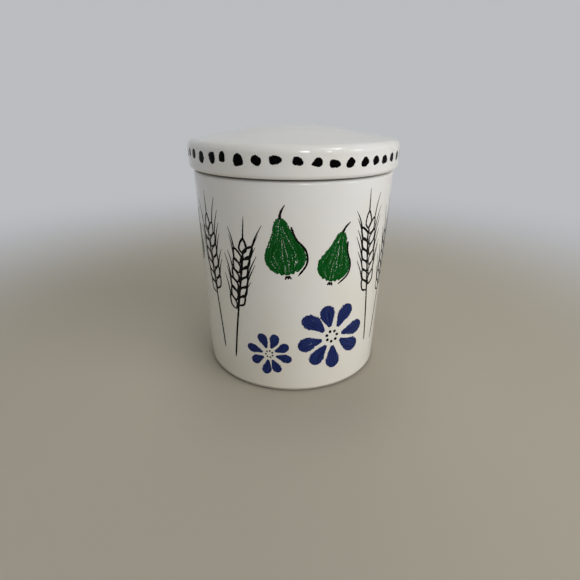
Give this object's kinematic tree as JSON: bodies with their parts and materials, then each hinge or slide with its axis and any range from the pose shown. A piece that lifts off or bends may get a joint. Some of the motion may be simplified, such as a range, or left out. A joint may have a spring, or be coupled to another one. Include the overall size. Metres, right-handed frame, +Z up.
{
  "type": "ceramic canister",
  "caption": "Tapered cylindrical glazed ceramic kitchen jar with a domed overhanging cap lid that lifts off, sealed by a soft ring on the lid's flange.",
  "frame": {"origin": "centre of the foot, on the surface that the canister stands on", "axes": "+Z up along the canister's axis of revolution, -Y towards the viewer of the picture"},
  "size_m": [0.152, 0.152, 0.1831],
  "materials": {
    "jar_glaze": "gloss glaze over white earthenware, hand-painted under the glaze",
    "lid_glaze": "gloss glaze over white earthenware, with a row of black dabs",
    "seal_silicone": "satin translucent white silicone"
  },
  "bodies": {
    "jar": {"canister_body": "jar_glaze"},
    "seal": {"lid_seal": "seal_silicone"},
    "lid": {"lid": "lid_glaze"}
  },
  "joints": [
    {"name": "lid_lift", "type": "slide", "parent": "jar", "child": "seal", "axis": [0, 0, 1], "range_m": [0, 0.1]},
    {"name": "lid_turn", "type": "hinge", "parent": "seal", "child": "lid", "pos_m": [0, 0, 0.15355], "axis": [0, 0, 1], "continuous": true}
  ]
}
